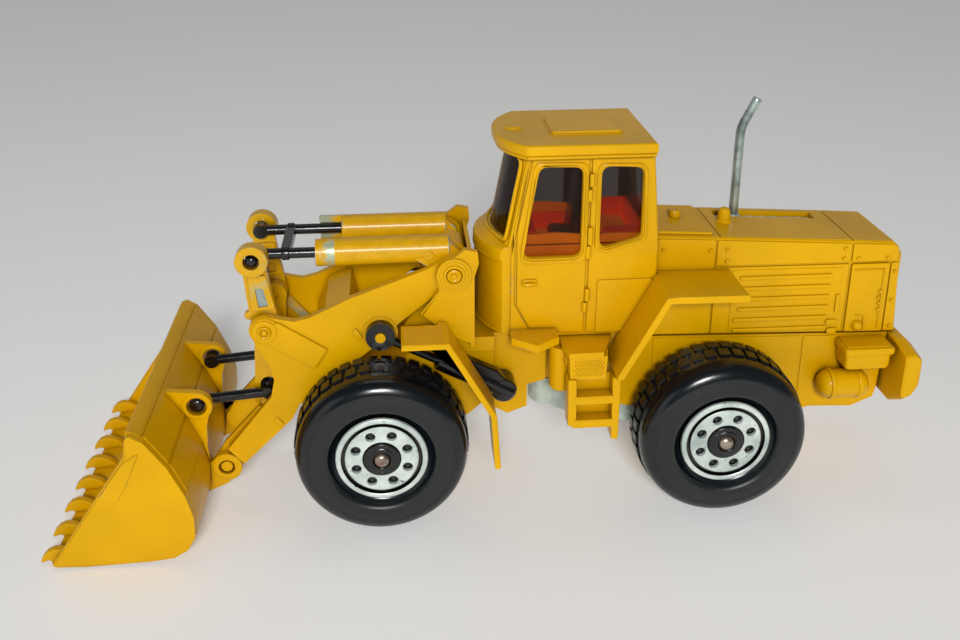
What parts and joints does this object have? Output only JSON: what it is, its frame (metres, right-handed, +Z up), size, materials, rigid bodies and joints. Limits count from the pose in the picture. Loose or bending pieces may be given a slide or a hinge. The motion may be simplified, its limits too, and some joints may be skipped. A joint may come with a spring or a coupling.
{
  "type": "toy front loader",
  "caption": "Articulated toy wheel loader with steering, rolling wheels, lifting boom, linked tilt rods and a toothed tipping bucket",
  "frame": {"origin": "middle of the overall box, on the ground", "axes": "+X forward to the bucket, +Y to the left of the machine, +Z up"},
  "size_m": [0.1678, 0.0554, 0.0769],
  "materials": {
    "rear_chassis": "gloss golden yellow paint on die-cast zinc",
    "base_plate": "bare die-cast zinc",
    "steering_pin": "plated steel rivet",
    "cab_shell": "gloss golden yellow paint on die-cast zinc",
    "cab_roof": "gloss golden yellow paint on die-cast zinc",
    "cab_glazing": "smoked brown clear plastic",
    "cab_interior": "red-orange moulded plastic",
    "engine_hood": "gloss golden yellow paint on die-cast zinc",
    "engine_top": "bare die-cast zinc",
    "exhaust_pipe": "bare die-cast zinc",
    "counterweight": "gloss golden yellow paint on die-cast zinc",
    "battery_box_left": "gloss golden yellow paint on die-cast zinc",
    "battery_box_right": "gloss golden yellow paint on die-cast zinc",
    "air_tank_left": "gloss golden yellow paint on die-cast zinc",
    "air_tank_right": "gloss golden yellow paint on die-cast zinc",
    "rear_fender_left": "gloss golden yellow paint on die-cast zinc",
    "rear_fender_right": "gloss golden yellow paint on die-cast zinc",
    "ladder_left": "gloss golden yellow paint on die-cast zinc",
    "ladder_right": "gloss golden yellow paint on die-cast zinc",
    "door_platform_left": "gloss golden yellow paint on die-cast zinc",
    "door_platform_right": "gloss golden yellow paint on die-cast zinc",
    "rear_axle": "plated steel rivet",
    "front_frame": "gloss golden yellow paint on die-cast zinc",
    "front_axle": "plated steel rivet",
    "boom_pin": "plated steel rivet",
    "front_fender_left": "gloss golden yellow paint on die-cast zinc",
    "front_fender_right": "gloss golden yellow paint on die-cast zinc",
    "boom_plate_left": "gloss golden yellow paint on die-cast zinc",
    "boom_plate_right": "gloss golden yellow paint on die-cast zinc",
    "boom_web": "gloss golden yellow paint on die-cast zinc",
    "crank_rivet_left": "plated steel rivet",
    "crank_rivet_right": "plated steel rivet",
    "bell_crank_left": "gloss golden yellow paint on die-cast zinc",
    "bell_crank_right": "gloss golden yellow paint on die-cast zinc",
    "tilt_rods": "black moulded plastic",
    "lower_link": "black moulded plastic",
    "tilt_barrel_left": "gloss golden yellow paint on die-cast zinc",
    "tilt_barrel_right": "gloss golden yellow paint on die-cast zinc",
    "lift_barrel_left": "black moulded plastic",
    "lift_barrel_right": "black moulded plastic",
    "lift_rod_left": "black moulded plastic",
    "lift_rod_right": "black moulded plastic",
    "bucket_shell": "gloss golden yellow paint on die-cast zinc",
    "bucket_teeth": "gloss golden yellow paint on die-cast zinc",
    "bucket_side_left": "gloss golden yellow paint on die-cast zinc",
    "bucket_side_right": "gloss golden yellow paint on die-cast zinc",
    "bucket_ear_left": "gloss golden yellow paint on die-cast zinc",
    "bucket_ear_right": "gloss golden yellow paint on die-cast zinc",
    "tyre_front_left": "moulded black rubber",
    "rim_front_left": "off-white moulded plastic",
    "hub_front_left": "black moulded plastic",
    "tyre_front_right": "moulded black rubber",
    "rim_front_right": "off-white moulded plastic",
    "hub_front_right": "black moulded plastic",
    "tyre_rear_left": "moulded black rubber",
    "rim_rear_left": "off-white moulded plastic",
    "hub_rear_left": "black moulded plastic",
    "tyre_rear_right": "moulded black rubber",
    "rim_rear_right": "off-white moulded plastic",
    "hub_rear_right": "black moulded plastic"
  },
  "bodies": {
    "rear_frame": {"rear_chassis": "rear_chassis", "base_plate": "base_plate", "steering_pin": "steering_pin", "cab_shell": "cab_shell", "cab_roof": "cab_roof", "cab_glazing": "cab_glazing", "cab_interior": "cab_interior", "engine_hood": "engine_hood", "engine_top": "engine_top", "exhaust_pipe": "exhaust_pipe", "counterweight": "counterweight", "battery_box_left": "battery_box_left", "battery_box_right": "battery_box_right", "air_tank_left": "air_tank_left", "air_tank_right": "air_tank_right", "rear_fender_left": "rear_fender_left", "rear_fender_right": "rear_fender_right", "ladder_left": "ladder_left", "ladder_right": "ladder_right", "door_platform_left": "door_platform_left", "door_platform_right": "door_platform_right", "rear_axle": "rear_axle"},
    "front_frame": {"front_frame": "front_frame", "front_axle": "front_axle", "boom_pin": "boom_pin", "front_fender_left": "front_fender_left", "front_fender_right": "front_fender_right"},
    "boom": {"boom_plate_left": "boom_plate_left", "boom_plate_right": "boom_plate_right", "boom_web": "boom_web", "crank_rivet_left": "crank_rivet_left", "crank_rivet_right": "crank_rivet_right"},
    "bell_crank_left": {"bell_crank_left": "bell_crank_left"},
    "bell_crank_right": {"bell_crank_right": "bell_crank_right"},
    "tilt_rods": {"tilt_rods": "tilt_rods"},
    "lower_link": {"lower_link": "lower_link"},
    "tilt_barrel_left": {"tilt_barrel_left": "tilt_barrel_left"},
    "tilt_barrel_right": {"tilt_barrel_right": "tilt_barrel_right"},
    "lift_barrel_left": {"lift_barrel_left": "lift_barrel_left"},
    "lift_barrel_right": {"lift_barrel_right": "lift_barrel_right"},
    "lift_rod_left": {"lift_rod_left": "lift_rod_left"},
    "lift_rod_right": {"lift_rod_right": "lift_rod_right"},
    "bucket": {"bucket_shell": "bucket_shell", "bucket_teeth": "bucket_teeth", "bucket_side_left": "bucket_side_left", "bucket_side_right": "bucket_side_right", "bucket_ear_left": "bucket_ear_left", "bucket_ear_right": "bucket_ear_right"},
    "wheel_front_left": {"tyre_front_left": "tyre_front_left", "rim_front_left": "rim_front_left", "hub_front_left": "hub_front_left"},
    "wheel_front_right": {"tyre_front_right": "tyre_front_right", "rim_front_right": "rim_front_right", "hub_front_right": "hub_front_right"},
    "wheel_rear_left": {"tyre_rear_left": "tyre_rear_left", "rim_rear_left": "rim_rear_left", "hub_rear_left": "hub_rear_left"},
    "wheel_rear_right": {"tyre_rear_right": "tyre_rear_right", "rim_rear_right": "rim_rear_right", "hub_rear_right": "hub_rear_right"}
  },
  "joints": [
    {"name": "steering", "type": "hinge", "parent": "rear_frame", "child": "front_frame", "pos_m": [-0.01245, 0, 0.028], "axis": [0, 0, 1], "range_deg": [-30, 30]},
    {"name": "boom_lift", "type": "hinge", "parent": "front_frame", "child": "boom", "pos_m": [0.00705, 0, 0.0488], "axis": [0, -1, 0], "range_deg": [0, 46]},
    {"name": "bucket_tilt", "type": "hinge", "parent": "boom", "child": "bell_crank_left", "pos_m": [0.04265, 0, 0.0379], "axis": [0, -1, 0], "range_deg": [-18, 30]},
    {"name": "bell_crank_right_turn", "type": "hinge", "parent": "boom", "child": "bell_crank_right", "pos_m": [0.04265, 0, 0.0379], "axis": [0, -1, 0], "range_deg": [-18, 30]},
    {"name": "bucket_turn", "type": "hinge", "parent": "boom", "child": "bucket", "pos_m": [0.05215, 0, 0.0083], "axis": [0, -1, 0], "range_deg": [-33.18, 20.11]},
    {"name": "lower_link_turn", "type": "hinge", "parent": "bucket", "child": "lower_link", "pos_m": [0.05675, 0, 0.0222], "axis": [0, -1, 0], "range_deg": [-7.57, 12.29]},
    {"name": "tilt_rods_turn", "type": "hinge", "parent": "bell_crank_left", "child": "tilt_rods", "pos_m": [0.04425, 0, 0.0517], "axis": [0, -1, 0], "range_deg": [-30.5, 18.5]},
    {"name": "tilt_barrel_left_turn", "type": "hinge", "parent": "front_frame", "child": "tilt_barrel_left", "pos_m": [0.00705, 0, 0.0488], "axis": [0, -1, 0], "range_deg": [-0.5, 46.5]},
    {"name": "lift_barrel_left_turn", "type": "hinge", "parent": "front_frame", "child": "lift_barrel_left", "pos_m": [-0.00235, 0.0117, 0.0242], "axis": [0, -1, 0], "range_deg": [-0.5, 15.22]},
    {"name": "lift_rod_left_turn", "type": "hinge", "parent": "boom", "child": "lift_rod_left", "pos_m": [0.02105, 0.0117, 0.0366], "axis": [0, -1, 0], "range_deg": [-31.78, 0.5]},
    {"name": "tilt_barrel_right_turn", "type": "hinge", "parent": "front_frame", "child": "tilt_barrel_right", "pos_m": [0.00705, 0, 0.0488], "axis": [0, -1, 0], "range_deg": [-0.5, 46.5]},
    {"name": "lift_barrel_right_turn", "type": "hinge", "parent": "front_frame", "child": "lift_barrel_right", "pos_m": [-0.00235, -0.0117, 0.0242], "axis": [0, -1, 0], "range_deg": [-0.5, 15.22]},
    {"name": "lift_rod_right_turn", "type": "hinge", "parent": "boom", "child": "lift_rod_right", "pos_m": [0.02105, -0.0117, 0.0366], "axis": [0, -1, 0], "range_deg": [-31.78, 0.5]},
    {"name": "wheel_front_left_spin", "type": "hinge", "parent": "front_frame", "child": "wheel_front_left", "pos_m": [0.0214, 0.0168, 0.0165], "axis": [0, 1, 0], "continuous": true},
    {"name": "wheel_front_right_spin", "type": "hinge", "parent": "front_frame", "child": "wheel_front_right", "pos_m": [0.0214, -0.0168, 0.0165], "axis": [0, 1, 0], "continuous": true},
    {"name": "wheel_rear_left_spin", "type": "hinge", "parent": "rear_frame", "child": "wheel_rear_left", "pos_m": [-0.04385, 0.0168, 0.0165], "axis": [0, 1, 0], "continuous": true},
    {"name": "wheel_rear_right_spin", "type": "hinge", "parent": "rear_frame", "child": "wheel_rear_right", "pos_m": [-0.04385, -0.0168, 0.0165], "axis": [0, 1, 0], "continuous": true}
  ],
  "couplings": [
    {"joint": "bell_crank_right_turn", "follows": "bucket_tilt", "ratio": 1},
    {"joint": "bucket_turn", "follows": "bucket_tilt", "ratio": -1.0895},
    {"joint": "lower_link_turn", "follows": "bucket_tilt", "ratio": 0.3929},
    {"joint": "tilt_rods_turn", "follows": "bucket_tilt", "ratio": -1},
    {"joint": "tilt_barrel_left_turn", "follows": "boom_lift", "ratio": 1},
    {"joint": "lift_barrel_left_turn", "follows": "boom_lift", "ratio": 0.32},
    {"joint": "lift_rod_left_turn", "follows": "boom_lift", "ratio": -0.68},
    {"joint": "tilt_barrel_right_turn", "follows": "boom_lift", "ratio": 1},
    {"joint": "lift_barrel_right_turn", "follows": "boom_lift", "ratio": 0.32},
    {"joint": "lift_rod_right_turn", "follows": "boom_lift", "ratio": -0.68}
  ]
}
